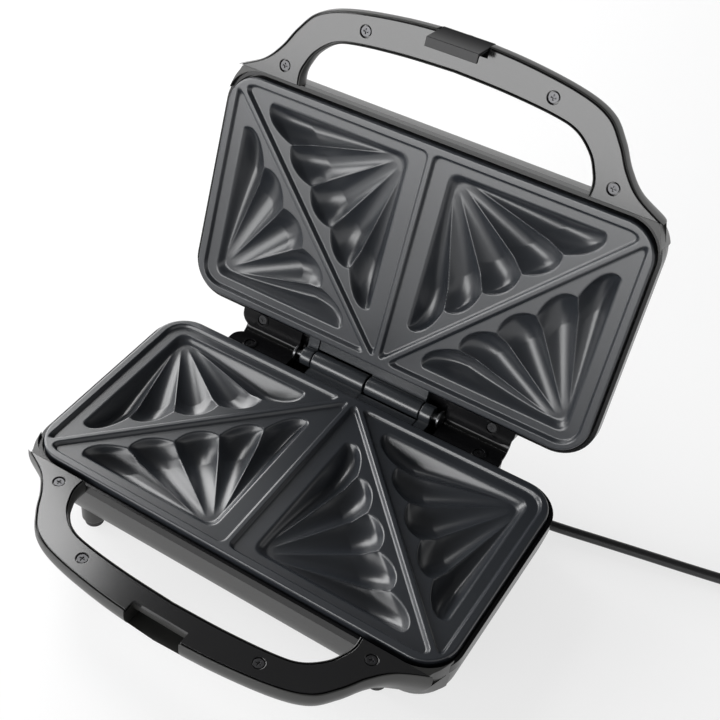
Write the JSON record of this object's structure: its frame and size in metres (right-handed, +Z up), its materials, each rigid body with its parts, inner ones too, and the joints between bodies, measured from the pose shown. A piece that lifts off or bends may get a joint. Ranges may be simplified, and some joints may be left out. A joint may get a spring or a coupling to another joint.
{
  "type": "sandwich toaster",
  "caption": "Countertop sandwich toaster with a hinged lid, two cast plates with fluted triangular pockets, moulded bow handles, a latch clip and a mains cord",
  "frame": {"origin": "on the table, in the middle of the toaster's footprint without the free cord, under the middle of the hinge's width", "axes": "X runs along the hinge, to the right as seen from the handles; Y points from the handles to the hinge; Z is up"},
  "size_m": [0.4378, 0.3723, 0.2516],
  "materials": {
    "housing": "satin moulded heat-resistant plastic",
    "frame": "glossy black",
    "cooking_plate": "cast aluminium under dark non-stick coating, satin",
    "handle_plate": "satin",
    "element": "oxidised sheath",
    "shield": "plain sheet",
    "screws": "darkened",
    "feet": "matt",
    "terminal": "matt",
    "ceramic_insulator": "matt",
    "brass_fittings": "plain",
    "cord": "satin flex",
    "cord_tie": "matt strap",
    "plug": "satin",
    "plug_pins": "polished",
    "power_lens": "translucent red",
    "ready_lens": "translucent green",
    "latch_clip": "glossy black",
    "pins": "bright"
  },
  "bodies": {
    "base": {"base_cover": "housing", "base_frame": "frame", "lower_plate": "cooking_plate", "base_handle_plate": "handle_plate", "lower_heating_element": "element", "lower_heat_shield": "shield", "lower_plate_screws": "screws", "base_handle_screws": "screws", "base_hinge_screws": "screws", "base_cover_screws": "screws", "front_left_foot": "feet", "front_right_foot": "feet", "back_left_foot": "feet", "back_right_foot": "feet", "terminal_block": "terminal", "cord_clamp": "terminal", "inner_lead": "cord", "strain_relief": "cord", "mains_cord": "cord", "cord_coil": "cord", "cord_tie": "cord_tie", "mains_plug": "plug", "plug_pins": "plug_pins", "hinge_pin_left": "pins", "hinge_pin_right": "pins"},
    "lid": {"lid_cover": "housing", "lid_frame": "frame", "upper_plate": "cooking_plate", "lid_handle_plate": "handle_plate", "upper_heating_element": "element", "upper_heat_shield": "shield", "upper_plate_screws": "screws", "upper_shield_screws": "screws", "lid_handle_screws": "screws", "lid_hinge_screws": "screws", "thermostat": "ceramic_insulator", "thermal_fuse": "brass_fittings", "power_lamp_lens": "power_lens", "ready_lamp_lens": "ready_lens", "lamp_holder": "terminal", "latch_pin": "pins"},
    "latch": {"latch_clip": "latch_clip"}
  },
  "joints": [
    {"name": "lid_hinge", "type": "hinge", "parent": "base", "child": "lid", "pos_m": [0, 0.06423, 0.051], "axis": [1, 0, 0], "range_deg": [0, 107]},
    {"name": "latch_pivot", "type": "hinge", "parent": "lid", "child": "latch", "pos_m": [0, 0.13254, 0.24637], "axis": [1, 0, 0], "range_deg": [-30, 6]}
  ]
}
